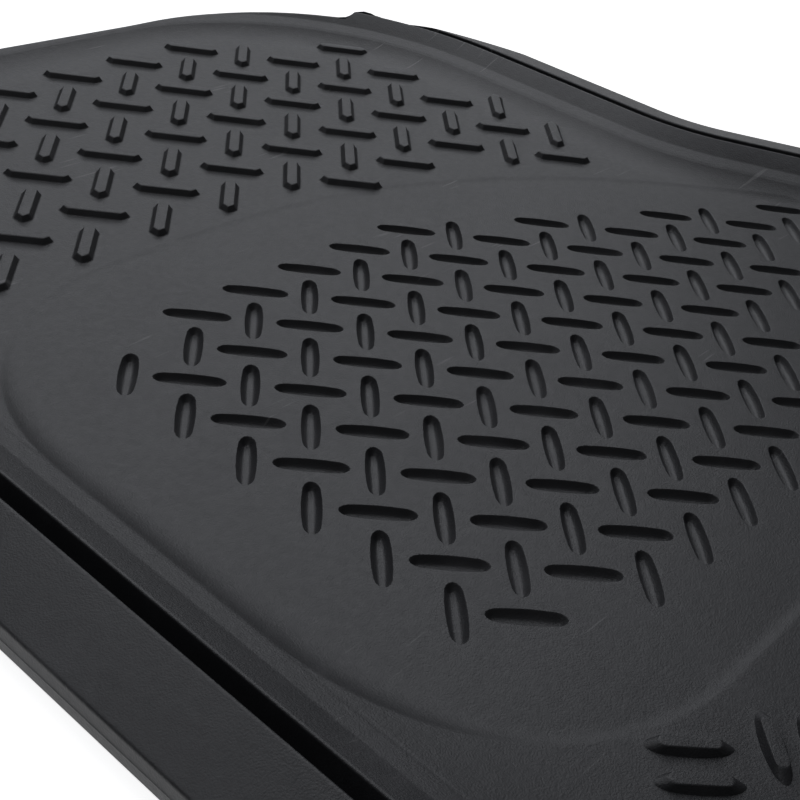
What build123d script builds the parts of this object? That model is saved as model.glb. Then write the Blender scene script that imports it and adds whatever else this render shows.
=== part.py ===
"""Four-piece set of moulded rubber floor mats for a car.

Each mat is one moulding: a flat tray with a raised rim, a trim groove and a sloping
flange all round, a shallow heel panel with recessed tread slots, and fields of raised
tread bars.  Two front mats and two rear mats lie as they do in the car, forward being +Y,
and each left mat is the mirror image of the right one.

Frame: +Z up, origin under the middle of the set, on the floor.  Millimetres.
"""

import os
from math import ceil, cos, hypot, radians, sin, tan

from build123d import *

# ---- layout of the set ----
side_gap = 80.0  # between a left mat and its right twin
row_gap = 50.0  # between the front mats and the rear mats

# ---- front mat outline, seen from above, from its rear corner on the car's inside ----
front_length = 775.0
front_width = 506.0
front_drop = 8.0  # how far the front edge falls back towards the door
front_lean = 19.0  # how far the door side leans in between the step and the front edge
step_depth = 44.0  # door side: how far the mat narrows at the step
step_rise = 76.0  # length of the step along the car
step_start = 423.0  # where the step starts, from the rear edge
rear_corner_radius = 85.0
front_corner_radius = 95.0
door_corner_radius = 178.0
step_outer_radius = 120.0
step_inner_radius = 80.0
longest_rounding = 0.98  # share of a straight side that its two rounded corners may take

# ---- rear mat outline ----
rear_length = 430.0
rear_width = 450.0
rear_mat_corner_radius = 85.0

# ---- rim, from the outer edge inwards, heights above the floor ----
edge_height = 9.0
flange_width = 25.0
flange_height = 15.0
groove_width = 5.3
groove_floor_width = 3.5
groove_floor_height = 6.0
crest_height = 15.5
outer_slope_width = 11.2
ridge_height = 10.7
inner_slope_width = 7.0
shoulder_height = 9.1
cove_width = 14.0
edge_bevel = 1.0

# ---- rim, hollows under it ----
rim_wall = 4.5
flange_hollow_height = 5.0
flange_hollow_top = 10.0
web_width = 12.0
band_hollow_height = 8.2
band_hollow_inner_height = 4.5
hollow_draft = 1.0

# ---- front edge of a front mat: the rim is cut off along one line ----
# Its corners are measured inwards from the narrowed door side and back from the front.
trim_inner = 38.5  # where the line meets the inner side, behind the front corner
trim_bend_x = 112.5
trim_bend_y = 53.0
trim_bend_radius = 130.0
trim_jog_inner_x = 69.3  # the jog, past which a thin strip of the flange is left
trim_jog_inner_y = 98.9
trim_jog_outer_x = 57.3
trim_jog_outer_y = 95.2
trim_jog_radius = 3.0
trim_knee_x = 37.4
trim_knee_y = 135.9
trim_knee_radius = 60.0
trim_door = 182.7  # where the line meets the narrowed door side, behind the front corner

# ---- tray ----
field_height = 4.5
panel_step = 0.5  # the heel panel lies this far below the fields
sheet_underside = 1.0
nib_radius = 2.5
nib_pitch = 40.0
nib_margin = 12.0

# ---- heel panel of the front mat ----
panel_start = 288.0  # from the rear edge
panel_length = 266.0  # along the car
panel_corner_radius = 75.0
panel_arch_setback = 105.0  # from the arch's tip back to where its sides begin
panel_arch_radius = 320.0
panel_tip_radius = 16.0
panel_side_gap = 1.5  # between the panel and the cove of the rim
panel_tip_gap = 1.0  # between the arch's corner and the cove of the rim

# ---- heel panel of the rear mat ----
rear_panel_margin_x = 84.0
rear_panel_margin_y = 112.0
rear_panel_radius = 60.0

# ---- recessed slots ----
slot_pitch = 20.0
slot_length = 24.0
slot_width = 6.0
slot_depth = 2.0
slot_side_margin = 31.0  # from the panel's front and rear sides to the nearest slot end
slot_inner_margin = 23.5  # from the panel's inner side to the nearest slot end
slot_tip_margin = -1.0  # from the arch's corner to the corner of the slotted area
slot_arch_setback = 178.0  # length of the slotted area that narrows towards the arch
slot_corner_cut_x = 45.0
slot_corner_cut_y = 28.0
slot_shift = -3.0  # the slotted area's middle from the panel's middle
slot_first_x = 49.5  # from the panel's inner side to a row of slots
slot_first_y = 3.9  # from the panel's middle to the slot in that row
rear_slot_margin = 22.0

# ---- raised bars ----
bar_pitch = 25.4
bar_length = 28.0
bar_width = 7.0
bar_height = 2.5
bar_side_slope = 32.0  # degrees from upright
bar_panel_gap = 0.2  # between the panel and the nearest bar end
bar_overlap = 40.0  # how far the bars reach back beside the panel
bar_cove_reach = 7.0  # how far a bar end may run onto the cove
bar_inner_gap = 38.0  # bars of a front mat keep this far from the cove on the inner side
bar_first_x = 166.3  # from the cove on the inner side to a row of bars
bar_first_y = 68.4  # from the panel's front side to the bar in that row
pair_bar_length = 23.6
pair_bar_width = 6.0
pair_spacing = 11.8
pair_pitch = 30.0
pair_twist = 14.2  # degrees by which the rows of pairs are turned from the bars
pair_panel_gap = 5.6  # between the panel and the nearest bar end
pair_first_x = 41.7  # from the cove on the inner side to a row of pairs
pair_first_y = 8.6  # from the panel's rear side to the pair in that row
embed = 0.3  # how deep a raised feature reaches into the tray


# ---- values worked out from the sizes above ----
groove_outer = flange_width
crest_offset = flange_width + groove_width
ridge_offset = crest_offset + outer_slope_width
shoulder_offset = ridge_offset + inner_slope_width
foot_offset = shoulder_offset + cove_width
panel_height = field_height - panel_step


def front_outline():
    """Corners and corner radii of the right front mat, anticlockwise."""
    waist = front_width - step_depth
    points = [
        (0, 0),
        (front_width, 0),
        (front_width, step_start),
        (waist, step_start + step_rise),
        (waist - front_lean, front_length - front_drop),
        (0, front_length),
    ]
    radii = [
        rear_corner_radius,
        rear_corner_radius,
        step_outer_radius,
        step_inner_radius,
        door_corner_radius,
        front_corner_radius,
    ]
    return points, radii


def rear_outline():
    """Corners and corner radii of a rear mat, anticlockwise."""
    points = [(0, 0), (rear_width, 0), (rear_width, rear_length), (0, rear_length)]
    return points, [rear_mat_corner_radius] * len(points)


def front_panel():
    """Heel panel of the right front mat: square inner side, arched side to the door."""
    inner = foot_offset + panel_side_gap
    tip = front_width - foot_offset - panel_tip_gap
    low = panel_start
    high = panel_start + panel_length
    middle = (low + high) / 2
    points = [
        (inner, low),
        (tip - panel_arch_setback, low),
        (tip, middle),
        (tip - panel_arch_setback, high),
        (inner, high),
    ]
    radii = [
        panel_corner_radius,
        panel_arch_radius,
        panel_tip_radius,
        panel_arch_radius,
        panel_corner_radius,
    ]
    return points, radii


def rear_panel():
    """Heel panel of a rear mat: a rounded rectangle."""
    x_low, x_high = rear_panel_margin_x, rear_width - rear_panel_margin_x
    y_low, y_high = rear_panel_margin_y, rear_length - rear_panel_margin_y
    points = [(x_low, y_low), (x_high, y_low), (x_high, y_high), (x_low, y_high)]
    return points, [rear_panel_radius] * len(points)


def fitted_radii(points, radii):
    """The radii, made smaller where two rounded corners would meet on a short side."""
    corners = [Vector(*point) for point in points]
    sides = [corner - corners[index - 1] for index, corner in enumerate(corners)]
    turns = [sides[index - 1].get_angle(side) for index, side in enumerate(sides)]
    turns = turns[1:] + turns[:1]
    reaches = [radius * tan(radians(turn) / 2) for radius, turn in zip(radii, turns)]
    shares = []
    for index, side in enumerate(sides):
        needed = reaches[index] + reaches[index - 1]
        shares.append(min(1, side.length * longest_rounding / needed))
    shares.append(shares[0])
    return [radius * min(shares[index], shares[index + 1]) for index, radius in enumerate(radii)]


def rounded_face(outline):
    """Flat face with rounded corners from a list of corners and radii."""
    points, radii = outline
    path = FilletPolyline(*points, radius=fitted_radii(points, radii), close=True)
    return Face(Wire(path.edges()))


def inset(face, amount):
    """The face drawn in by an amount, or let out where the amount is negative."""
    return offset(face, amount=-amount).faces()[0]


def rim_section(start, along, hollow):
    """Cross-section of the rim at a point of the outer edge, upright, facing inwards."""
    up = Vector(0, 0, 1)
    inward = up.cross(along)
    plane = Plane(origin=start, x_dir=inward, z_dir=inward.cross(up))
    groove_side = (groove_width - groove_floor_width) / 2
    web_start = groove_outer + groove_width / 2 - web_width / 2
    web_end = web_start + web_width
    upper = Polyline(
        (0, 0),
        (0, edge_height - edge_bevel),
        (edge_bevel, edge_height),
        (flange_width, flange_height),
        (groove_outer + groove_side, groove_floor_height),
        (crest_offset - groove_side, groove_floor_height),
        (crest_offset, crest_height),
        (ridge_offset, ridge_height),
        (shoulder_offset, shoulder_height),
    )
    drop = shoulder_height - field_height
    cove_radius = (cove_width**2 + drop**2) / (2 * drop)
    cove = RadiusArc((shoulder_offset, shoulder_height), (foot_offset, field_height), cove_radius)
    hollows = [
        (shoulder_offset, band_hollow_inner_height),
        (web_end + hollow_draft, band_hollow_height),
        (web_end, 0),
        (web_start, 0),
        (web_start, flange_hollow_top),
        (rim_wall, flange_hollow_height),
        (rim_wall, 0),
    ]
    lower = Polyline(
        (foot_offset, field_height),
        (foot_offset, sheet_underside),
        (shoulder_offset, sheet_underside),
        *(hollows if hollow else [(shoulder_offset, 0)]),
        (0, 0),
    )
    return plane * Face(Wire([*upper.edges(), cove, *lower.edges()]))


def rim(outline, hollow=True):
    """The rim, swept once round the outer edge, with or without the hollows under it."""
    edge = rounded_face(outline).outer_wire()
    return sweep(rim_section(edge @ 0, edge % 0, hollow), path=edge)


def tread_lattice(pitch, start, box, twist=0):
    """Places of a basket weave of bars at 45 degrees: (x, y, angle), inside a box."""
    (x_low, y_low), (x_high, y_high) = box
    across, up = radians(twist - 45), radians(twist + 45)
    reach = ceil(hypot(x_high - x_low, y_high - y_low) / pitch)
    for column in range(-reach, reach + 1):
        for row in range(-reach, reach + 1):
            x = start[0] + pitch * (column * cos(across) + row * cos(up))
            y = start[1] + pitch * (column * sin(across) + row * sin(up))
            if x_low < x < x_high and y_low < y < y_high:
                yield x, y, -45 if (column + row) % 2 == 0 else 45


def bar_ends(x, y, angle, length):
    """The two ends of a bar or slot."""
    dx, dy = length / 2 * cos(radians(angle)), length / 2 * sin(radians(angle))
    return Vector(x - dx, y - dy), Vector(x + dx, y + dy)


def box_of(face):
    """Lowest and highest corner of a flat face."""
    box = face.bounding_box()
    return (box.min.X, box.min.Y), (box.max.X, box.max.Y)


def front_slot_field():
    """Outline that the slots of the front mat keep within."""
    inner = foot_offset + panel_side_gap + slot_inner_margin
    low = panel_start + slot_side_margin + slot_shift
    high = panel_start + panel_length - slot_side_margin + slot_shift
    tip = front_width - foot_offset - panel_tip_gap - slot_tip_margin
    shoulder = tip - slot_arch_setback
    corners = [
        (inner + slot_corner_cut_x, low),
        (shoulder, low),
        (tip, (low + high) / 2),
        (shoulder, high),
        (inner + slot_corner_cut_x, high),
        (inner, high - slot_corner_cut_y),
        (inner, low + slot_corner_cut_y),
    ]
    return make_face(Polyline(*corners, close=True)).faces()[0]


def within(face, points):
    """True where every point lies in the flat face."""
    return all(face.is_inside(point) for point in points)


def slot_tool():
    """One recessed slot, with its floor at the origin's height."""
    plan = SlotOverall(slot_length, slot_width)
    return extrude(plan, amount=slot_depth + 1)


def bar_tool(length, width):
    """One raised bar with pointed ends and sloping sides, standing on the origin."""
    half, side = length / 2, width / 2
    plan = Polygon(
        (-half, 0),
        (-half + side, -side),
        (half - side, -side),
        (half, 0),
        (half - side, side),
        (-half + side, side),
        align=None,
    )
    return extrude(plan, amount=bar_height + embed, taper=bar_side_slope)


def placed(tool, places, height):
    """Copies of a tool at (x, y, angle) places and one height."""
    return [Pos(x, y, height) * Rot(0, 0, angle) * tool for x, y, angle in places]


def slot_places(field, start):
    """Places of the slots that fit in their field."""
    lattice = tread_lattice(slot_pitch, start, box_of(field))
    return [place for place in lattice if within(field, bar_ends(*place, slot_length))]


def clear_of(face, points):
    """True where no point lies in the flat face."""
    return not any(face.is_inside(point) for point in points)


def bar_places(outline, panel, anchor, limits, least_x=0):
    """Places of single raised bars between the rim and the panel, within y limits."""
    tray = inset(rounded_face(outline), foot_offset - bar_cove_reach)
    keepout = inset(rounded_face(panel), -bar_panel_gap)
    places = []
    for x, y, angle in tread_lattice(bar_pitch, anchor, box_of(tray)):
        ends = bar_ends(x, y, angle, bar_length)
        if limits[0] < y < limits[1] and x > least_x and within(tray, ends):
            if clear_of(keepout, ends):
                places.append((x, y, angle))
    return places


def pair_places(outline, panel, anchor, limits):
    """Places of bars that lie in parallel pairs, within y limits."""
    tray = inset(rounded_face(outline), foot_offset - bar_cove_reach)
    keepout = inset(rounded_face(panel), -pair_panel_gap)
    places = []
    for x, y, angle in tread_lattice(pair_pitch, anchor, box_of(tray), pair_twist):
        for side in (-0.5, 0.5):
            reach = side * pair_spacing
            px = x - reach * sin(radians(angle))
            py = y + reach * cos(radians(angle))
            ends = bar_ends(px, py, angle, pair_bar_length)
            if limits[0] < py < limits[1] and within(tray, ends) and clear_of(keepout, ends):
                places.append((px, py, angle))
    return places


def nibs(outline):
    """Small round feet under the tray that grip the carpet."""
    field = inset(rounded_face(outline), foot_offset + nib_margin)
    (x_low, y_low), (x_high, y_high) = box_of(field)
    feet = []
    for column in range(int((x_high - x_low) / nib_pitch) + 1):
        for row in range(int((y_high - y_low) / nib_pitch) + 1):
            point = Vector(x_low + column * nib_pitch, y_low + row * nib_pitch)
            if field.is_inside(point):
                foot = Cone(nib_radius * 0.6, nib_radius, sheet_underside + embed,
                            align=(Align.CENTER, Align.CENTER, Align.MIN))
                feet.append(Pos(point.X, point.Y, 0) * foot)
    return feet


def mat(outline, panel, slots, bars, pairs):
    """One mat as a single moulding."""
    tray_plan = inset(rounded_face(outline), foot_offset)
    tray = extrude(Pos(0, 0, sheet_underside) * tray_plan, amount=field_height - sheet_underside)
    body = rim(outline) + tray
    body -= Pos(0, 0, panel_height) * extrude(rounded_face(panel), amount=panel_step + 1)
    body = body.cut(*placed(slot_tool(), slots, panel_height - slot_depth))
    raised = placed(bar_tool(bar_length, bar_width), bars, field_height - embed)
    raised += placed(bar_tool(pair_bar_length, pair_bar_width), pairs, field_height - embed)
    return body.fuse(*raised, *nibs(outline))


def trim_plan():
    """Plan of what is cut off the front of a front mat."""
    waist = front_width - step_depth
    meets_inner = Vector(0, front_length - trim_inner)
    bend = Vector(waist - trim_bend_x, front_length - trim_bend_y)
    jog_inner = Vector(waist - trim_jog_inner_x, front_length - trim_jog_inner_y)
    jog_outer = Vector(waist - trim_jog_outer_x, front_length - trim_jog_outer_y)
    knee = Vector(waist - trim_knee_x, front_length - trim_knee_y)
    meets_door = Vector(waist, front_length - trim_door)
    start = meets_inner + (meets_inner - bend)
    end = meets_door + (meets_door - knee)
    radii = [trim_bend_radius, trim_jog_radius, trim_jog_radius, trim_knee_radius]
    line = FilletPolyline(start, bend, jog_inner, jog_outer, knee, end, radius=radii)
    far = Polyline(end, (end.X, 2 * front_length), (start.X, 2 * front_length), start)
    return Face(Wire([*line.edges(), *far.edges()]))


def trimmed_front(body, outline):
    """The mat with its rim cut off along the front, and a wall closing the cut."""
    cut = trim_plan()
    wall = inset(cut, -rim_wall) - cut
    closing = rim(outline, hollow=False) & extrude(wall, amount=crest_height)
    return body - extrude(cut, amount=crest_height) + closing


def front_mat():
    """Right front mat, with its rear inside corner at the origin."""
    outline, panel = front_outline(), front_panel()
    middle = panel_start + panel_length / 2
    inner = foot_offset + panel_side_gap
    slots = slot_places(front_slot_field(), (inner + slot_first_x, middle + slot_first_y))
    bar_anchor = (foot_offset + bar_first_x, panel_start + panel_length + bar_first_y)
    pair_anchor = (foot_offset + pair_first_x, panel_start - pair_first_y)
    least_x = foot_offset + bar_inner_gap
    bar_limits = (panel_start + panel_length - bar_overlap, front_length)
    bars = bar_places(outline, panel, bar_anchor, bar_limits, least_x)
    pairs = pair_places(outline, panel, pair_anchor, (0, middle))
    return trimmed_front(mat(outline, panel, slots, bars, pairs), outline)


def rear_mat():
    """Right rear mat, with its rear inside corner at the origin."""
    outline, panel = rear_outline(), rear_panel()
    middle = (rear_width / 2, rear_length / 2)
    slot_field = inset(rounded_face(panel), rear_slot_margin)
    slots = slot_places(slot_field, middle)
    bars = bar_places(outline, panel, middle, (middle[1], rear_length))
    pairs = pair_places(outline, panel, middle, (0, middle[1]))
    return mat(outline, panel, slots, bars, pairs)


def main():
    """Write one file per mat."""
    os.makedirs("parts", exist_ok=True)
    front, rear = front_mat(), rear_mat()
    front_span = front.bounding_box().size.Y
    rear_y = -(rear_length + row_gap + front_span) / 2
    front_y = rear_y + rear_length + row_gap
    front_right = Pos(side_gap / 2, front_y, 0) * front
    rear_right = Pos(side_gap / 2, rear_y, 0) * rear
    mats = {
        "front_right_mat": front_right,
        "front_left_mat": mirror(front_right, about=Plane.YZ),
        "rear_right_mat": rear_right,
        "rear_left_mat": mirror(rear_right, about=Plane.YZ),
    }
    for name, shape in mats.items():
        export_step(shape, f"parts/{name}.step")


main()
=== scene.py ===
# %% [markdown]
# # A set of moulded rubber floor mats
#
# Two front mats and two rear mats for a car.  Each one is a single rubber moulding: a tray
# with a raised rim, a trim groove, a heel panel full of recessed slots and fields of raised
# tread bars.  The CAD model already fixes every size.  This notebook makes the fine meshes
# and the rubber that are seen, and puts them where the CAD bodies are.

# %% Load the fixed frame
import math

import bpy
import numpy as np
from mathutils import Matrix, Vector
from mathutils.geometry import delaunay_2d_cdt


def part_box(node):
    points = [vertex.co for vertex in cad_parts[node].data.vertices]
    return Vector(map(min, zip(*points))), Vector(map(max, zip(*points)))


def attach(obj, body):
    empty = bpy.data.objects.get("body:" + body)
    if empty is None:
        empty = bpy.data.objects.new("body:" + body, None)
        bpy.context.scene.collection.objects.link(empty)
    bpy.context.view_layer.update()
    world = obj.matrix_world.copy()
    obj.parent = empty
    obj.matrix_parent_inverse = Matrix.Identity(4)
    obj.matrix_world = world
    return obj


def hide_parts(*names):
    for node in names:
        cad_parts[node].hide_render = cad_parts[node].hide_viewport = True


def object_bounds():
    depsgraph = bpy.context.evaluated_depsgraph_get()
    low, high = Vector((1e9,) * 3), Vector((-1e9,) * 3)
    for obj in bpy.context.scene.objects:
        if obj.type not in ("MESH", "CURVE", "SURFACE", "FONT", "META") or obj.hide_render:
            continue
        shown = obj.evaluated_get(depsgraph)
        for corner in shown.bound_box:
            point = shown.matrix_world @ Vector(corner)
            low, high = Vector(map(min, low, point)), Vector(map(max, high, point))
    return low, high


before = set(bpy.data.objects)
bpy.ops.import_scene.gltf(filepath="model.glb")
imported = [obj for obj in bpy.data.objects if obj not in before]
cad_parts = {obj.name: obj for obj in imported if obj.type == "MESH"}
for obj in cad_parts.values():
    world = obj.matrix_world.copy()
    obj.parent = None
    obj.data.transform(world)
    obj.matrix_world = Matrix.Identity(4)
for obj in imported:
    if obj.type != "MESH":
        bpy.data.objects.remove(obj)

MM = 0.001
cad_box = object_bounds()
print("CAD box:", [[round(value, 4) for value in corner] for corner in cad_box])

# %% [markdown]
# ## The camera
#
# The camera sits low over the right front mat and looks forward and outboard, so the heel
# panel fills the picture.  Its place is measured from the mat's own corner, which keeps it
# right wherever the set's origin is.  A heading, a tilt and a roll are turns about the up,
# side and view axes, and multiplying their matrices avoids guessing at an Euler order.

# %% Camera
mat_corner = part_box("front_right_mat")[0]
CAMERA_FROM_CORNER = Vector((-139.1, 217.0, 260.7)) * MM
HEADING, TILT, ROLL = 54.6, 34.75, 10.7  # degrees
FOCAL_LENGTH, SENSOR = 60.4, 36.0  # millimetres

camera = bpy.data.objects.new("camera", bpy.data.cameras.new("camera"))
camera.data.lens = FOCAL_LENGTH
camera.data.sensor_width = SENSOR
camera.data.clip_start = 0.01
turn = Matrix.Rotation(math.radians(-HEADING), 4, "Z")
tip = Matrix.Rotation(math.radians(90 - TILT), 4, "X")
bank = Matrix.Rotation(math.radians(ROLL), 4, "Z")
camera.matrix_world = Matrix.Translation(mat_corner + CAMERA_FROM_CORNER) @ turn @ tip @ bank
bpy.context.scene.collection.objects.link(camera)
bpy.context.scene.camera = camera
print("camera at", [round(value, 3) for value in camera.location])

# %% [markdown]
# ## Sizes
#
# These are the driving sizes of the CAD model, in millimetres from a mat's rear inside
# corner.  The rim is described by its cross-section: how far in from the outer edge, and
# how high.

# %% Sizes shared by all four mats
FLANGE_WIDTH, GROOVE_WIDTH, GROOVE_FLOOR = 25.0, 5.3, 6.0
CREST = FLANGE_WIDTH + GROOVE_WIDTH
RIDGE = CREST + 11.2
SHOULDER, SHOULDER_HEIGHT = RIDGE + 7.0, 9.1
FOOT = SHOULDER + 14.0
FIELD, PANEL, UNDERSIDE = 4.5, 4.0, 1.0
RIM_WALL = 4.5

# %% Sizes of the front and rear mats
FRONT = {
    "corners": [(0, 0), (506, 0), (506, 423), (462, 499), (443, 767), (0, 775)],
    "radii": [85, 85, 120, 80, 178, 95],
    "panel": [(SHOULDER, 288), (337.5, 288), (442.5, 421), (337.5, 554), (SHOULDER, 554)],
    "panel_radii": [90, 320, 16, 320, 90],
    "keep_clear": [(64, 288), (337.5, 288), (442.5, 421), (337.5, 554), (64, 554)],
    "keep_clear_radii": [75, 320, 16, 320, 75],
    "trim_line": [(-350, 750), (349.5, 722), (392.7, 676.1), (404.7, 679.8), (424.6, 639.1), (499, 546)],
    "trim_radii": [1, 130, 3, 3, 60, 1],
}
REAR = {
    "corners": [(0, 0), (450, 0), (450, 430), (0, 430)],
    "radii": [85] * 4,
    "panel": [(84, 112), (366, 112), (366, 318), (84, 318)],
    "panel_radii": [60] * 4,
    "keep_clear": [(84, 112), (366, 112), (366, 318), (84, 318)],
    "keep_clear_radii": [60] * 4,
    "trim_line": None,
}
print("front mat", FRONT["corners"][1][0], "mm wide, rim", FOOT, "mm across")

# %% [markdown]
# ## Rounded outlines
#
# Everything on a mat has a plan outline with rounded corners: the mat, its panel, each slot
# and each bar.  A bevelled curve could make them, but an outline that keeps its inward
# normals is more useful, because moving every point along its normal gives all the parallel
# lines of the rim, with the same number of points in each.


# %% Outline with inward normals
def rounded_outline(corners, radii, spacing=None, steps=None):
    """Points and inward normals of an anticlockwise polygon with rounded corners."""
    corners = np.array(corners, float)
    along = np.roll(corners, -1, axis=0) - corners
    along /= np.linalg.norm(along, axis=1)[:, None]
    points, normals = [], []
    for index, (corner, radius) in enumerate(zip(corners, radii)):
        u, v = along[index - 1], along[index]
        bend = math.atan2(u[0] * v[1] - u[1] * v[0], u @ v)
        side = math.copysign(1.0, bend)
        inward = np.array((-u[1], u[0]))
        start = corner - u * radius * math.tan(abs(bend) / 2)
        centre = start + side * radius * inward
        count = steps or max(2, math.ceil(abs(bend) * radius / spacing))
        if spacing and points:
            fill_straight(points, normals, start, inward, spacing)
        for step in range(count + 1):
            angle = bend * step / count
            cos, sin = math.cos(angle), math.sin(angle)
            normal = np.array((cos * inward[0] - sin * inward[1], sin * inward[0] + cos * inward[1]))
            points.append(centre - side * radius * normal)
            normals.append(normal)
    if spacing:
        fill_straight(points, normals, points[0], normals[0], spacing)
    return np.array(points), np.array(normals)


def fill_straight(points, normals, end, normal, spacing):
    """Adds evenly spaced points between the last point and the next one."""
    start = points[-1]
    count = math.ceil(np.linalg.norm(end - start) / spacing)
    for step in range(1, count):
        points.append(start + (end - start) * step / count)
        normals.append(normal)


def measure(points, loop):
    """Signed distance to a closed line, positive inside it, and its nearest points."""
    best = np.full(len(points), np.inf)
    nearest = np.zeros_like(points)
    inside = np.zeros(len(points), bool)
    for a, b in zip(loop, np.roll(loop, -1, axis=0)):
        step = b - a
        share = np.clip(((points - a) @ step) / (step @ step), 0, 1)
        foot = a + share[:, None] * step
        gap = np.hypot(points[:, 0] - foot[:, 0], points[:, 1] - foot[:, 1])
        closer = gap < best
        best[closer], nearest[closer] = gap[closer], foot[closer]
        if a[1] != b[1]:
            straddles = (a[1] > points[:, 1]) != (b[1] > points[:, 1])
            inside ^= straddles & (points[:, 0] < a[0] + step[0] * (points[:, 1] - a[1]) / step[1])
    return np.where(inside, best, -best), nearest


test_points, _ = rounded_outline(FRONT["corners"], FRONT["radii"], spacing=4)
print("front mat outline:", len(test_points), "points")

# %% [markdown]
# ## The shape of the tray
#
# The tray's upper surface is a height for every place, which is easier to control than
# modelling it by hand.  From the shoulder of the rim it falls in a cove to the level
# field.  On the inner side of a front mat that fall is long and gentle.  The heel panel is
# a flat scoop: its wall is tall where it meets the shoulder and fades to a faint crease.
# A smooth minimum of the two surfaces rounds the edge where they meet.

# %% Height of the tray
COVE_WIDTH, INNER_BLEND = 20.0, 40.0
SCOOP_COVE, SCOOP_POWER, TALLEST_WALL = 18.0, 2.5, 5.1
EDGE_ROUNDING = 0.4


def cove_width(points, mat):
    """How far the fall from the shoulder to the field reaches, at each place."""
    if not mat["trim_line"]:
        return np.full(len(points), COVE_WIDTH)
    share = np.clip((points[:, 0] - 100) / 60, 0, 1)
    return INNER_BLEND + (COVE_WIDTH - INNER_BLEND) * share**2 * (3 - 2 * share)


def ground_height(points, mat):
    """The tray without its panel."""
    depth = measure(points, mat["outline"])[0] - SHOULDER
    share = np.clip(1 - depth / cove_width(points, mat), 0, 1)
    return FIELD + (SHOULDER_HEIGHT - FIELD) * share**2


def tray_height(points, mat):
    """The whole upper surface inside the rim, without slots and bars."""
    ground = ground_height(points, mat)
    depth, nearest = measure(points, mat["panel_outline"])
    wall = ground_height(nearest, mat) - PANEL
    cove = SCOOP_COVE * (wall / TALLEST_WALL) ** 0.6
    scoop = PANEL + wall * np.clip(1 - depth / cove, 0, 8) ** SCOOP_POWER
    mix = np.clip(0.5 + 0.5 * (scoop - ground) / EDGE_ROUNDING, 0, 1)
    return scoop + (ground - scoop) * mix - EDGE_ROUNDING * mix * (1 - mix)


# %% [markdown]
# ## Where the slots and bars go
#
# Slots and bars stand in a basket weave at 45 degrees: every second place of a slanting
# lattice turns the other way.  The places are worked out from one starting point and one
# pitch, and a place is dropped where its bar would run off its field.


# %% Basket weave
def weave(pitch, start, low, high, twist=0):
    """Places (x, y, angle) of a basket weave, inside a box."""
    across, up = math.radians(twist - 45), math.radians(twist + 45)
    reach = math.ceil(np.linalg.norm(high - low) / pitch)
    places = []
    for column in range(-reach, reach + 1):
        for row in range(-reach, reach + 1):
            x = start[0] + pitch * (column * math.cos(across) + row * math.cos(up))
            y = start[1] + pitch * (column * math.sin(across) + row * math.sin(up))
            if low[0] < x < high[0] and low[1] < y < high[1]:
                places.append((x, y, -45 if (column + row) % 2 == 0 else 45))
    return np.array(places, float)


def ends_of(places, length):
    """Both ends of each bar or slot."""
    turn = np.radians(places[:, 2])
    reach = np.stack((np.cos(turn), np.sin(turn)), axis=1) * length / 2
    return places[:, :2] - reach, places[:, :2] + reach


def inside_by(places, length, loop, gap):
    """True for each place whose two ends lie at least this far inside a closed line."""
    return np.all([measure(end, loop)[0] >= gap for end in ends_of(places, length)], axis=0)


def outside_by(places, length, loop, gap):
    """True for each place whose two ends lie at least this far outside a closed line."""
    return np.all([measure(end, loop)[0] <= -gap for end in ends_of(places, length)], axis=0)


# %% Slots, bars and pairs
SLOT_PITCH, SLOT_LENGTH, SLOT_WIDTH = 20.0, 24.0, 6.8
BAR_PITCH, BAR_LENGTH, BAR_WIDTH, BAR_HEIGHT = 25.4, 28.0, 7.0, 2.5
PAIR_PITCH, PAIR_LENGTH, PAIR_WIDTH, PAIR_SPACING, PAIR_TWIST = 30.0, 23.6, 6.0, 11.8, 14.2
COVE_REACH, PAIR_GAP, BAR_GAP = 7.0, 5.6, 0.2


def single_bars(mat, start, low_y, least_x):
    """Places of the single bars, in front of the panel."""
    loop = mat["outline"]
    places = weave(BAR_PITCH, start, loop.min(0), loop.max(0))
    keep = inside_by(places, BAR_LENGTH, loop, FOOT - COVE_REACH)
    keep &= outside_by(places, BAR_LENGTH, mat["clear_outline"], BAR_GAP)
    return places[keep & (places[:, 1] > low_y) & (places[:, 0] > least_x)]


def paired_bars(mat, start, high_y):
    """Places of the bars that lie side by side in pairs, behind the panel."""
    loop = mat["outline"]
    centres = weave(PAIR_PITCH, start, loop.min(0), loop.max(0), PAIR_TWIST)
    turn = np.radians(centres[:, 2])
    across = np.stack((-np.sin(turn), np.cos(turn)), axis=1) * PAIR_SPACING / 2
    both = []
    for side in (-1, 1):
        places = centres.copy()
        places[:, :2] += side * across
        both.append(places)
    places = np.concatenate(both)
    keep = inside_by(places, PAIR_LENGTH, loop, FOOT - COVE_REACH)
    keep &= outside_by(places, PAIR_LENGTH, mat["clear_outline"], PAIR_GAP)
    return places[keep & (places[:, 1] > 0) & (places[:, 1] < high_y)]


def slots_in(field, start):
    """Places of the slots that fit in the outline of their field."""
    places = weave(SLOT_PITCH, start, field.min(0), field.max(0))
    return places[inside_by(places, SLOT_LENGTH, field, 0)]


# %% Lay out both kinds of mat
def lay_out(mat):
    """Samples a mat's outlines."""
    mat["outline"], mat["normals"] = rounded_outline(mat["corners"], mat["radii"], spacing=5)
    mat["panel_outline"], mat["panel_normals"] = rounded_outline(
        mat["panel"], mat["panel_radii"], spacing=3
    )
    mat["clear_outline"], _ = rounded_outline(mat["keep_clear"], mat["keep_clear_radii"], spacing=3)


lay_out(FRONT)
lay_out(REAR)

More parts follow.
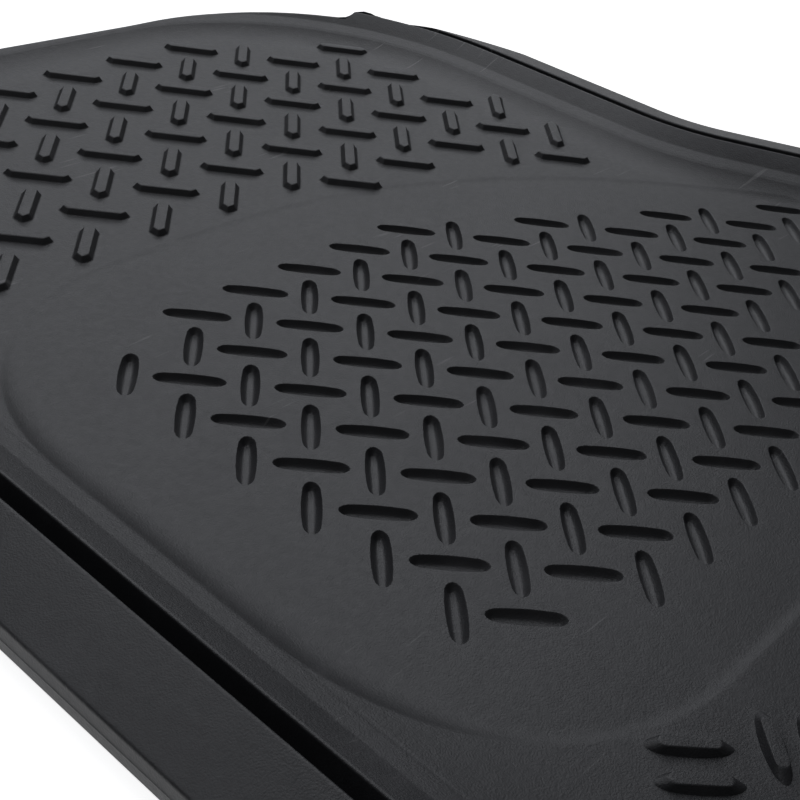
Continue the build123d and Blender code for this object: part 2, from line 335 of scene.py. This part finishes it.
front_slot_field = np.array([
    (132.5, 316), (265.5, 316), (443.5, 418), (265.5, 520), (132.5, 520), (87.5, 492), (87.5, 344),
], float)
FRONT["slots"] = slots_in(front_slot_field, (113.5, 424.9))
FRONT["bars"] = single_bars(FRONT, (228.8, 622.4), 514, 100.5)
FRONT["pairs"] = paired_bars(FRONT, (104.2, 279.4), 421)

rear_middle = (225.0, 215.0)
rear_slot_field = REAR["panel_outline"] + 22 * REAR["panel_normals"]
REAR["slots"] = slots_in(rear_slot_field, rear_middle)
REAR["bars"] = single_bars(REAR, rear_middle, rear_middle[1], 0)
REAR["pairs"] = paired_bars(REAR, rear_middle, rear_middle[1])
for name, mat in (("front", FRONT), ("rear", REAR)):
    print(name, "mat:", {kind: len(mat[kind]) for kind in ("slots", "bars", "pairs")})

# %% [markdown]
# ## Gathering one mesh
#
# A moulding is one closed skin, so all of its points and faces go into one list.  Rings of
# points with equal counts are joined by strips of four-sided faces, which is how the rim,
# the slots and the bars are made.


# %% Skin
class Skin:
    """Points and faces of one moulding, in millimetres."""

    def __init__(self):
        self.points = []
        self.faces = []

    def ring(self, plan, heights):
        """Adds a closed ring of points and returns their numbers."""
        heights = np.broadcast_to(heights, len(plan))
        start = len(self.points)
        self.points.extend((x, y, z) for (x, y), z in zip(plan, heights))
        return list(range(start, start + len(plan)))

    def strip(self, lower, upper):
        """Joins two rings of equal count."""
        for index, low in enumerate(lower):
            self.faces.append((lower[index - 1], low, upper[index], upper[index - 1]))

    def stack(self, rings):
        """Joins rings one after another, and closes the last one."""
        for lower, upper in zip(rings, rings[1:]):
            self.strip(lower, upper)
        self.faces.append(tuple(rings[-1]))


# %% [markdown]
# ## The rim
#
# The rim is one cross-section carried round the outline, like a swept profile.  Its sharp
# edges get two or three points each, so that light catches a small rounding.  The front
# mats are cut off along one bent line at the front.  There the same section starts further
# in: its side moves to the cut, and every point that would lie outside it slides along the
# profile to the inner side of the cut.

# %% Section of the rim, from under the shoulder, outwards and back over the top
GROOVE_WALL = 0.9
WEB_START, WEB_END, DRAFT = 21.65, 33.65, 1
HOLLOW_END, BAND_HOLLOW = 4.5, 8.2
FLANGE_HOLLOW, FLANGE_HOLLOW_TOP = 5, 10
TOP_OF_SIDE = 9.2

under = [
    (SHOULDER, UNDERSIDE), (SHOULDER, HOLLOW_END), (WEB_END + DRAFT, BAND_HOLLOW), (WEB_END, 0),
    (WEB_START, 0), (WEB_START, FLANGE_HOLLOW_TOP), (RIM_WALL, FLANGE_HOLLOW), (RIM_WALL, 0),
]
side = [
    (0.8, 0), (0.25, 0.2), (0.05, 0.7), (0.0, 3.9), (-0.05, 4.3), (-0.16, 4.45), (-0.05, 4.6),
    (0.12, 5.0), (0.35, 8.0), (0.45, 8.5), (0.75, 8.95), (1.3, 9.2), (2.2, 9.4),
]
flange = [
    (8, 10.9), (16, 12.9), (FLANGE_WIDTH - 1.6, 14.7), (FLANGE_WIDTH - 0.8, 14.85),
    (FLANGE_WIDTH - 0.25, 14.7), (FLANGE_WIDTH, 14.2),
]
groove = [
    (FLANGE_WIDTH + GROOVE_WALL, GROOVE_FLOOR + 0.5),
    (FLANGE_WIDTH + GROOVE_WALL + 0.5, GROOVE_FLOOR),
    (CREST - GROOVE_WALL - 0.5, GROOVE_FLOOR), (CREST - GROOVE_WALL, GROOVE_FLOOR + 0.5),
]
crest = [(CREST - 0.05, 14.7), (CREST + 0.15, 15.2), (CREST + 0.6, 15.4), (CREST + 1.3, 15.15)]
band = [(CREST + 6, 13.1), (RIDGE - 1.0, 11.12), (RIDGE - 0.35, 10.84)]
shoulder = [
    (RIDGE, 10.74), (RIDGE + 0.35, 10.66), (RIDGE + 1.2, 10.45), (SHOULDER - 1.5, 9.42),
    (SHOULDER - 0.6, 9.2), (SHOULDER, 8.95),
]
top = flange + groove + crest + band + shoulder
profile = np.array(side[-2:] + top)
print("points in the section:", len(under) + len(side) + len(top))


# %% Cut the section off
CUT_SAMPLES, CUT_STEP = 101, 0.5
TOP_SPREAD = 0.04  # keeps points apart that slide to the same place
LEAST_HOLLOW = 0.3


def cut_depths(mat):
    """How far in from the outer edge the trim line lies, at each point of the outline."""
    points, normals = mat["outline"], mat["normals"]
    if not mat["trim_line"]:
        return np.zeros(len(points))
    start, *_, end = mat["trim_line"]
    far = 2 * points[:, 1].max()
    corners = mat["trim_line"] + [(end[0], far), (start[0], far)]
    radii = mat["trim_radii"] + [1, 1]
    removed, _ = rounded_outline(corners, radii, spacing=6)
    steps = np.arange(CUT_SAMPLES) * CUT_STEP
    samples = points[:, None] + steps[:, None] * normals[:, None]
    inside = measure(samples.reshape(-1, 2), removed)[0].reshape(len(points), CUT_SAMPLES)
    depths = np.zeros(len(points))
    for index, row in enumerate(inside):
        last = np.flatnonzero(row > 0)
        if len(last):
            a, b = row[last[-1]], row[last[-1] + 1]
            depths[index] = (last[-1] + a / (a - b)) * CUT_STEP
    return depths


def top_height(offset):
    """Height of the rim's upper side at a distance from the outer edge."""
    return np.interp(offset, profile[:, 0], profile[:, 1])


def ceiling_height(offset, wall):
    """Height of the hollows' ceiling at the inner side of the cut, for a corner that moved there."""
    if offset == WEB_END + DRAFT:
        fall = (HOLLOW_END - BAND_HOLLOW) / (SHOULDER - WEB_END - DRAFT)
        return BAND_HOLLOW + (wall - WEB_END - DRAFT) * fall
    if offset == RIM_WALL and wall < WEB_START:
        rise = (FLANGE_HOLLOW_TOP - FLANGE_HOLLOW) / (WEB_START - RIM_WALL)
        return FLANGE_HOLLOW + (wall - RIM_WALL) * rise
    return 0


def cut_section(depth):
    """Offsets and heights of the section where it is cut off at this depth."""
    if depth <= 0:
        return under + side + top
    wall = min(depth + RIM_WALL, SHOULDER - LEAST_HOLLOW)
    below = []
    for offset, height in under:
        if height and offset < wall:
            height = ceiling_height(offset, wall)
        below.append((max(offset, wall), height))
    face = []
    for offset, height in side:
        share = min(height / TOP_OF_SIDE, 1)
        face.append((depth + offset, top_height(depth + offset) * share))
    above = []
    for place, (offset, _) in enumerate(top):
        after_side = depth + side[-1][0] + TOP_SPREAD * (place + 1)
        before_shoulder = SHOULDER - TOP_SPREAD * (len(top) - 1 - place)
        offset = max(offset, min(after_side, before_shoulder))
        above.append((offset, top_height(offset)))
    return below + face + above


def add_rim(skin, mat):
    """Adds the rim, and returns the rings at the shoulder, above and below."""
    sections = np.array([cut_section(depth) for depth in cut_depths(mat)])
    rings = []
    for place in range(sections.shape[1]):
        plan = mat["outline"] + sections[:, place, :1] * mat["normals"]
        rings.append(skin.ring(plan, sections[:, place, 1]))
    for lower, upper in zip(rings, rings[1:]):
        skin.strip(lower, upper)
    return rings[-1], rings[0]


# %% [markdown]
# ## Slots and bars
#
# A slot is a stack of capsule rings going down, a bar a stack of pointed rings going up.
# Each ring is the same outline drawn a little smaller, with as many points, so the stack
# closes with plain strips.  Bars in front of the panel are pointed with flat tops; the
# paired bars behind it have a lens-shaped foot under a rounded top.


# %% Rings of one slot or bar
def turned(plan, place):
    """A small plan outline, turned and moved to its place."""
    angle = math.radians(place[2])
    cos, sin = math.cos(angle), math.sin(angle)
    return plan @ np.array([(cos, sin), (-sin, cos)]) + place[:2]


def capsule(length, width, narrowing=0.0):
    """Outline of a slot: two round ends and slightly bulging sides."""
    half, radius = length / 2 - width / 2, width / 2
    side = np.linspace(half, -half, 5)[1:-1]
    arc = np.linspace(-math.pi / 2, math.pi / 2, 7)
    end = np.stack((half + radius * np.cos(arc), radius * np.sin(arc)), axis=1)
    top = np.stack((side, np.full(len(side), radius)), axis=1)
    right_and_top = np.concatenate((end, top))
    plan = np.concatenate((right_and_top, -right_and_top))
    plan[:, 1] *= 1 - narrowing * (plan[:, 0] / (length / 2)) ** 2
    return plan


def pointed(length, width, inset, tip_radius=1.6, side_radius=2.2):
    """Outline of a bar: straight sides and two pointed ends, drawn in by an inset."""
    side = width / 2 - inset
    half = length / 2 - inset * math.sqrt(2)
    corners = [
        (half - side, -side), (half, 0), (half - side, side),
        (-half + side, side), (-half, 0), (-half + side, -side),
    ]
    radii = [side_radius, tip_radius, side_radius] * 2
    radii = [max(radius - inset * 0.8, 0.25) for radius in radii]
    return rounded_outline(corners, radii, steps=3)[0]


# %% Stacks of rings
SLOT_RINGS = [(0.0, 0.0), (0.2, 0.08), (0.45, 0.4), (1.0, 1.2), (1.75, 2.05), (2.7, 2.55)]
SLOT_LIP, SLOT_NARROWING = 0.6, 0.3
FOOT_SPREAD = 1.4  # how much longer and wider a bar's foot is than the bar
PAIR_TOP_LENGTH, PAIR_TAPER, LENS = 14.5, 3.6, 0.55
BAR_RINGS = [(-0.7, 0.0), (-0.15, 0.15), (0.15, 0.5), (1.2, 2.05), (1.7, 2.5)]


def slot_stack(place):
    """Rings of one slot: (plan, height) pairs from its mouth down."""
    rings = []
    for inset, depth in SLOT_RINGS:
        length = SLOT_LENGTH + SLOT_LIP - 2 * inset
        width = SLOT_WIDTH - 2 * inset
        plan = turned(capsule(length, width, SLOT_NARROWING), place)
        rings.append((plan, PANEL - depth))
    return rings


def bar_stack(place):
    """Rings of one pointed bar, from its foot up."""
    rings = []
    for inset, rise in BAR_RINGS:
        plan = turned(pointed(BAR_LENGTH, BAR_WIDTH, inset), place)
        rings.append((plan, FIELD + rise))
    return rings


def pair_stack(place):
    """Rings of one paired bar: a lens-shaped foot and a rounded top."""
    rings = []
    for inset, rise in BAR_RINGS:
        share = rise / BAR_HEIGHT
        length = PAIR_LENGTH + FOOT_SPREAD - (PAIR_LENGTH - PAIR_TOP_LENGTH) * share
        width = PAIR_WIDTH + FOOT_SPREAD - PAIR_TAPER * share
        plan = turned(capsule(length, width, LENS * (1 - share)), place)
        rings.append((plan, FIELD + rise))
    return rings


# %% [markdown]
# ## The tray
#
# The tray has hundreds of small outlines in it, and the surface between them has to be
# filled with well-shaped triangles.  A constrained Delaunay triangulation does that: it
# takes the outlines as they are and joins everything between them.  Extra points follow
# the panel's edge and the coves, where the surface bends, and a loose grid fills the rest.

# %% Fill between outlines
GRID = 5.0
CLEARANCE = 1.4  # between a slot or bar and the nearest filler point
SUBMERGED_RISE = 0.03  # keeps a bar's rings in order where the cove rises over it
FOLLOW_SHOULDER = (0.5, 1.2, 2.4, 4.2, 6.5, 9.5, 13, 17, 21, 26, 32, 38)
FOLLOW_PANEL = (-3.2, -1.8, -1.0, -0.5, 0.0, 0.5, 1.0, 1.8, 2.8, 4.2, 6, 8, 10.5, 13, 15.5, 18.5)


def loose_points(mat):
    """Filler points inside the shoulder, from the coves, the panel's edge and a grid."""
    rings = [mat["outline"] + (SHOULDER + gap) * mat["normals"] for gap in FOLLOW_SHOULDER]
    shoulder_points = np.concatenate(rings)
    rings = [mat["panel_outline"] + gap * mat["panel_normals"] for gap in FOLLOW_PANEL]
    panel_points = np.concatenate(rings)
    low, high = mat["outline"].min(0), mat["outline"].max(0)
    xs, ys = np.arange(low[0], high[0], GRID), np.arange(low[1], high[1], GRID * 0.866)
    grid = np.array([(x + GRID / 2 * (row % 2), y) for row, y in enumerate(ys) for x in xs])
    near_panel = np.abs(measure(shoulder_points, mat["panel_outline"])[0] - 6) < 10.5
    shoulder_points = shoulder_points[~near_panel]
    from_panel = measure(grid, mat["panel_outline"])[0]
    from_edge = measure(grid, mat["outline"])[0] - SHOULDER
    roomy = (from_edge > 40) & ((from_panel < -5) | (from_panel > 20))
    points = np.concatenate((shoulder_points, panel_points, grid[roomy]))
    return points[measure(points, mat["outline"])[0] > SHOULDER + 0.3]


def clear_of_features(points, features):
    """Drops the points that lie in or too near a slot or bar."""
    keep = np.ones(len(points), bool)
    for places, length, width in features:
        for x, y, degrees in places:
            angle = math.radians(degrees)
            away = points - (x, y)
            along = np.abs(away @ (math.cos(angle), math.sin(angle)))
            across = np.abs(away @ (-math.sin(angle), math.cos(angle)))
            keep &= (along > length / 2 + CLEARANCE) | (across > width / 2 + CLEARANCE)
    return points[keep]


def fill(skin, boundary, holes, loose, height):
    """Triangles inside a boundary ring and around hole rings, lifted by a height function."""
    known = boundary + [number for hole in holes for number in hole]
    plan = [Vector(skin.points[number][:2]) for number in known]
    plan += [Vector(point) for point in loose]
    loops, start = [], 0
    for ring in [boundary] + holes:
        loops.append(list(range(start, start + len(ring))))
        start += len(ring)
    coords, _, faces, sources, _, parents = delaunay_2d_cdt(plan, [], loops, 1, 1e-4)
    fresh, numbers = [], {}
    for index, source in enumerate(sources):
        if source and min(source) < len(known):
            numbers[index] = known[min(source)]
        else:
            fresh.append(index)
    places = np.array([coords[index][:] for index in fresh]) if fresh else np.zeros((0, 2))
    for index, (x, y), z in zip(fresh, places, height(places)):
        numbers[index] = len(skin.points)
        skin.points.append((x, y, z))
    for face, loop_numbers in zip(faces, parents):
        if list(loop_numbers) == [0]:
            skin.faces.append(tuple(numbers[index] for index in face))
    return sum(1 for source in sources if not source)


# %% Build the upper surface
def add_tray(skin, mat, shoulder_ring):
    """Adds the tray with its slots and bars inside the shoulder."""
    slots = [slot_stack(place) for place in mat["slots"]]
    bars = [bar_stack(place) for place in mat["bars"]] + [pair_stack(place) for place in mat["pairs"]]
    plans = np.concatenate([plan for stack in bars for plan, _ in stack])
    surface = iter(tray_height(plans, mat))
    holes = []
    for stack in slots:
        rings = [skin.ring(plan, height) for plan, height in stack]
        skin.stack(rings)
        holes.append(rings[0])
    for stack in bars:
        rings = []
        for level, (plan, height) in enumerate(stack):
            below = np.array([next(surface) for _ in plan])
            lifted = below if level == 0 else np.maximum(below + SUBMERGED_RISE * level, height)
            rings.append(skin.ring(plan, lifted))
        skin.stack(rings)
        holes.append(rings[0])
    features = [
        (mat["slots"], SLOT_LENGTH + SLOT_LIP, SLOT_WIDTH),
        (mat["bars"], BAR_LENGTH + FOOT_SPREAD, BAR_WIDTH + FOOT_SPREAD),
        (mat["pairs"], PAIR_LENGTH + FOOT_SPREAD, PAIR_WIDTH + FOOT_SPREAD),
    ]
    loose = clear_of_features(loose_points(mat), features)
    crossings = fill(skin, shoulder_ring, holes, loose, lambda points: tray_height(points, mat))
    print("tray:", len(holes), "slots and bars,", len(loose), "filler points,", crossings, "crossings")


# %% [markdown]
# ## The underside
#
# Underneath, the sheet of the tray is flat and stands on small round nibs that grip the
# carpet.  Their feet are at floor level, like the foot of the rim.

# %% Build the underside
NIB_PITCH, NIB_RADIUS, NIB_MARGIN = 40.0, 2.5, 12.0
NIB_SIDES = 16


def add_underside(skin, mat, lower_ring):
    """Adds the flat underside with its nibs."""
    field = mat["outline"] + (FOOT + NIB_MARGIN) * mat["normals"]
    low, high = field.min(0), field.max(0)
    xs, ys = np.arange(low[0], high[0] + 0.01, NIB_PITCH), np.arange(low[1], high[1] + 0.01, NIB_PITCH)
    centres = np.array([(x, y) for x in xs for y in ys])
    centres = centres[measure(centres, field)[0] > 0]
    angles = np.arange(NIB_SIDES) * 2 * math.pi / NIB_SIDES
    circle = np.stack((np.cos(angles), np.sin(angles)), axis=1)
    holes = []
    for centre in centres:
        levels = ((1.0, UNDERSIDE), (0.68, 0.2), (0.6, 0.05), (0.45, 0.0))
        rings = [skin.ring(centre + circle * NIB_RADIUS * size, height) for size, height in levels]
        skin.stack(rings)
        holes.append(rings[0])
    fill(skin, lower_ring, holes, [], lambda points: np.full(len(points), UNDERSIDE))
    print("underside:", len(holes), "nibs")


# %% [markdown]
# ## From points to mesh
#
# The skin becomes a Blender mesh in metres, at the corner of its CAD body.  The left mats
# are the right ones mirrored.  Shading is smooth everywhere, and a Weighted Normal modifier
# lets the large flat faces decide the shading next to each small rounding, so flats stay
# flat.


# %% Mesh from skin
def mould(mat):
    """The closed skin of one mat, in millimetres from its rear inside corner."""
    skin = Skin()
    upper, lower = add_rim(skin, mat)
    add_tray(skin, mat, upper)
    add_underside(skin, mat, lower)
    return skin


def make_mesh(name, skin, corner, mirror):
    """A Blender mesh object from a skin, standing at a corner of the frame."""
    points = np.array(skin.points) * MM
    points[:, 0] = (points[:, 0] + corner[0]) * (-1 if mirror else 1)
    points[:, 1] += corner[1]
    mesh = bpy.data.meshes.new(name)
    mesh.from_pydata(points.tolist(), [], skin.faces)
    mesh.validate()
    piece = bpy.data.objects.new(name, mesh)
    bpy.context.scene.collection.objects.link(piece)
    bpy.context.view_layer.objects.active = piece
    bpy.ops.object.mode_set(mode="EDIT")
    bpy.ops.mesh.select_all(action="SELECT")
    bpy.ops.mesh.normals_make_consistent(inside=False)
    bpy.ops.object.mode_set(mode="OBJECT")
    mesh.shade_smooth()
    weigh = piece.modifiers.new("flats stay flat", "WEIGHTED_NORMAL")
    weigh.mode = "FACE_AREA"
    weigh.weight = 60
    return piece


skins = {"front": mould(FRONT), "rear": mould(REAR)}
pieces = {}
for row, skin in skins.items():
    right_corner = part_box(row + "_right_mat")[0]
    for side in ("right", "left"):
        node = f"{row}_{side}_mat"
        piece = make_mesh(node + "_moulding", skin, right_corner, side == "left")
        pieces[node] = piece
        print(piece.name, len(piece.data.vertices), "points", len(piece.data.polygons), "faces")

# %% [markdown]
# ## The rubber
#
# The mats are dark charcoal rubber with a matt, slightly dusty skin.  What makes it look
# like rubber and not plastic is a broad soft highlight: high roughness that varies a little,
# a very fine grain in the bump, faint paler smudges, and a few thin scuffs.  The maths is
# written as Python expressions through one small class.


# %% Shader maths as Python
class Signal:
    """One output of a material's nodes, with arithmetic."""

    def __init__(self, finish, socket):
        self.finish = finish
        self.socket = socket

    def maths(self, operation, *values):
        sockets = dict(enumerate(values))
        return self.finish.node("ShaderNodeMath", {"operation": operation}, sockets)

    def __add__(self, other):
        return self.maths("ADD", self, other)

    def __sub__(self, other):
        return self.maths("SUBTRACT", self, other)

    def __rsub__(self, other):
        return self.maths("SUBTRACT", other, self)

    def __mul__(self, other):
        return self.maths("MULTIPLY", self, other)

    __radd__ = __add__
    __rmul__ = __mul__

    def between(self, low, high):
        """0 below low, 1 above high, and smooth in between."""
        settings = {"interpolation_type": "SMOOTHSTEP"}
        return self.finish.node("ShaderNodeMapRange", settings, {"Value": self, 1: low, 2: high})


class Finish:
    """A material and its nodes."""

    def __init__(self, name):
        self.material = bpy.data.materials.new(name)
        self.material.use_nodes = True
        self.tree = self.material.node_tree
        self.tree.nodes.clear()

    def node(self, kind, settings=None, sockets=None, output=0):
        """Adds a node: its settings first, then values or links on its sockets."""
        node = self.tree.nodes.new(kind)
        for name, value in (settings or {}).items():
            setattr(node, name, value)
        for name, value in (sockets or {}).items():
            if isinstance(value, Signal):
                self.tree.links.new(value.socket, node.inputs[name])
            else:
                node.inputs[name].default_value = value
        return Signal(self, node.outputs[output]) if node.outputs else None

    def mix(self, share, first, second):
        """A colour between two colours."""
        settings = {"data_type": "RGBA"}
        return self.node("ShaderNodeMix", settings, {0: share, 6: first, 7: second}, output=2)

    def noise(self, place, size, detail=2.0, roughness=0.5):
        """Noise with features of about this size in metres."""
        sockets = {"Vector": place, "Scale": 1 / size, "Detail": detail, "Roughness": roughness}
        return self.node("ShaderNodeTexNoise", None, sockets)

    def bump(self, height, distance, strength=1.0):
        """A normal from a height."""
        sockets = {"Height": height, "Distance": distance, "Strength": strength}
        return self.node("ShaderNodeBump", None, sockets)


# %% Moulded rubber
RUBBER = (0.017, 0.0175, 0.020, 1)
DUSTY = (0.046, 0.046, 0.050, 1)
SCUFF = (0.12, 0.12, 0.122, 1)


def moulded_rubber():
    """Matt charcoal rubber with fine grain, faint smudges and thin scuffs."""
    finish = Finish("moulded_rubber")
    place = finish.node("ShaderNodeTexCoord", output=3)
    grain = finish.noise(place, 0.0006, detail=1.0)
    pebble = finish.noise(place, 0.0025, detail=3.0, roughness=0.6)
    smudge = finish.noise(place, 0.05, detail=5.0, roughness=0.6)
    drift = finish.noise(place, 0.012, detail=4.0, roughness=0.65)
    dust = smudge.between(0.48, 0.72) * 0.6 + drift.between(0.5, 0.8) * 0.4
    turned_place = {"Vector": place, "Rotation": (0, 0, 0.6), "Scale": (22, 520, 90)}
    stretched = finish.node("ShaderNodeMapping", None, turned_place)
    streaks = {"Vector": stretched, "Scale": 1.0, "Detail": 1.0}
    streak = finish.node("ShaderNodeTexNoise", None, streaks)
    patch = finish.noise(place, 0.03, detail=1.0)
    scuff = streak.between(0.68, 0.74) * patch.between(0.58, 0.68) * 0.6
    colour = finish.mix(dust, RUBBER, DUSTY)
    colour = finish.mix(scuff, colour, SCUFF)
    rough = 0.42 + 0.14 * pebble + 0.08 * dust
    height = 0.6 * grain + 0.4 * pebble
    normal = finish.bump(height, 0.00025, 0.7)
    shader = finish.node(
        "ShaderNodeBsdfPrincipled",
        None,
        {"Base Color": colour, "Roughness": rough, "Normal": normal, "Specular IOR Level": 0.46},
    )
    finish.node("ShaderNodeOutputMaterial", None, {"Surface": shader})
    return finish.material


rubber = moulded_rubber()
for piece in pieces.values():
    piece.data.materials.append(rubber)
print("rubber nodes:", len(rubber.node_tree.nodes))

# %% [markdown]
# ## Floor and light
#
# A white floor that glows a little, so that it stays white in dim light, and one very large
# softbox high up beyond the mats.  Rubber is so dark that nearly all that is seen of it is
# reflection: with the light far behind, the flats that face up shine softly, and the walls
# of slots and coves that face the camera stay nearly black.  A smaller light from the side
# lifts the flange.

# %% Floor
FLOOR_HALF = 6.0
floor_mesh = bpy.data.meshes.new("studio_floor")
signs = [(-1, -1), (1, -1), (1, 1), (-1, 1)]
floor_points = [(x * FLOOR_HALF, y * FLOOR_HALF, cad_box[0][2]) for x, y in signs]
floor_mesh.from_pydata(floor_points, [], [(0, 1, 2, 3)])
studio_floor = bpy.data.objects.new("studio_floor", floor_mesh)
bpy.context.scene.collection.objects.link(studio_floor)
floor_finish = Finish("studio_floor")
floor_looks = {
    "Base Color": (0.9, 0.9, 0.9, 1), "Roughness": 0.9, "Specular IOR Level": 0.1,
    "Emission Color": (1, 1, 1, 1), "Emission Strength": 0.8,
}
floor_shader = floor_finish.node("ShaderNodeBsdfPrincipled", None, floor_looks)
floor_finish.node("ShaderNodeOutputMaterial", None, {"Surface": floor_shader})
floor_mesh.materials.append(floor_finish.material)

# %% Lights
world = bpy.data.worlds.new("studio")
bpy.context.scene.world = world
world.use_nodes = True
world.node_tree.nodes["Background"].inputs["Color"].default_value = (1, 1, 1, 1)
world.node_tree.nodes["Background"].inputs["Strength"].default_value = 0.07


COOL_WHITE = (0.93, 0.95, 1.0)


def soft_light(name, place, target, size, power):
    """A square area light that looks at a point."""
    lamp = bpy.data.lights.new(name, "AREA")
    lamp.size = size
    lamp.energy = power
    lamp.color = COOL_WHITE
    light = bpy.data.objects.new(name, lamp)
    light.location = place
    light.rotation_euler = (Vector(target) - Vector(place)).to_track_quat("-Z", "Y").to_euler()
    bpy.context.scene.collection.objects.link(light)
    return light


AIM = (0.35, 0.35, 0)
soft_light("softbox", (3.81, 4.07, 4.86), AIM, 6.2, 225)
soft_light("side light", (-1.27, 2.25, 4.33), AIM, 2.5, 32)
bpy.context.scene.view_settings.view_transform = "Standard"

# %% [markdown]
# ## Joining the frame
#
# Each moulding rides on an empty for the CAD body that it belongs to, and that body's CAD
# # mesh is hidden.

# %% Ride on the bodies
for node, piece in pieces.items():
    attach(piece, node.removesuffix("_mat"))
    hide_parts(node)
